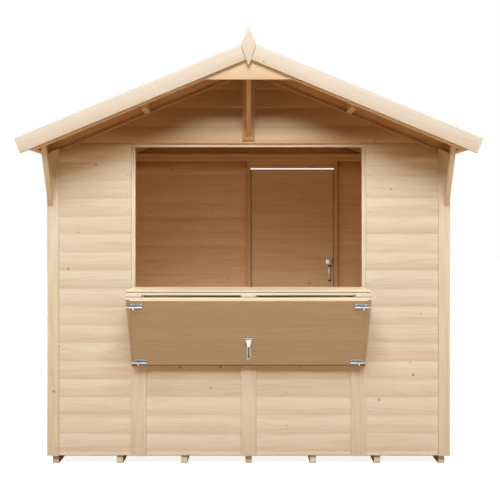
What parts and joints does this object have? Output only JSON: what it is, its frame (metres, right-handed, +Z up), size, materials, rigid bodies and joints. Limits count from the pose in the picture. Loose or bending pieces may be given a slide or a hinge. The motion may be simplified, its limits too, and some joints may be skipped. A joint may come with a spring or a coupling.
{
  "type": "timber serving stall with folding counter hatch",
  "caption": "Closed apex-roofed timber stall clad in shiplap, with a wide serving opening, a hatch folded down into a counter, a front overhang and a hinged rear door.",
  "frame": {"origin": "on the ground in the middle of the floor, on the underside of the centre bearer", "axes": "+Z up, the serving front faces -Y, +X to the right of someone facing the front"},
  "size_m": [2.666, 2.2485, 2.5575],
  "materials": {
    "planed_softwood": "planed, unpainted spruce shiplap and trim",
    "sawn_framing": "sawn, unpainted spruce framing",
    "floor_boards": "planed, unpainted spruce boards",
    "zinc_hardware": "bright zinc-plated steel",
    "roofing_felt": "mineral-grit bitumen felt"
  },
  "bodies": {
    "root": {"floor_bearers": "sawn_framing", "floor_deck": "floor_boards", "front_wall_left": "planed_softwood", "front_wall_right": "planed_softwood", "front_wall_lower": "planed_softwood", "front_gable": "planed_softwood", "front_battens": "planed_softwood", "side_wall_left": "planed_softwood", "side_wall_right": "planed_softwood", "rear_wall_left": "planed_softwood", "rear_wall_right": "planed_softwood", "rear_wall_header": "planed_softwood", "rear_gable": "planed_softwood", "front_rails": "sawn_framing", "front_studs": "sawn_framing", "rear_rails": "sawn_framing", "rear_studs": "sawn_framing", "gable_rafters": "sawn_framing", "side_plates": "sawn_framing", "side_studs": "sawn_framing", "end_trims": "planed_softwood", "side_trims": "planed_softwood", "roof_purlins": "sawn_framing", "eaves_rails": "sawn_framing", "front_rafters": "sawn_framing", "gable_infill": "sawn_framing", "roof_deck_left": "planed_softwood", "roof_deck_right": "planed_softwood", "roof_felt": "roofing_felt", "bargeboard_front_left": "planed_softwood", "bargeboard_front_right": "planed_softwood", "bargeboard_rear_left": "planed_softwood", "bargeboard_rear_right": "planed_softwood", "finials": "planed_softwood", "gable_tie": "planed_softwood", "overhang_struts": "planed_softwood", "counter_leaf": "planed_softwood", "front_leaf": "planed_softwood", "fold_hinges": "zinc_hardware", "sill_hinges": "zinc_hardware", "barrel_bolts": "zinc_hardware", "hatch_lock": "zinc_hardware", "door_hinges": "zinc_hardware"},
    "rear_door": {"rear_door": "planed_softwood", "door_straps": "zinc_hardware", "door_locks": "zinc_hardware"}
  },
  "joints": [
    {"name": "rear_door_hinge", "type": "hinge", "parent": "root", "child": "rear_door", "pos_m": [-0.0055, 0.9145, 0.06], "axis": [0, 0, 1], "range_deg": [0, 110]}
  ]
}
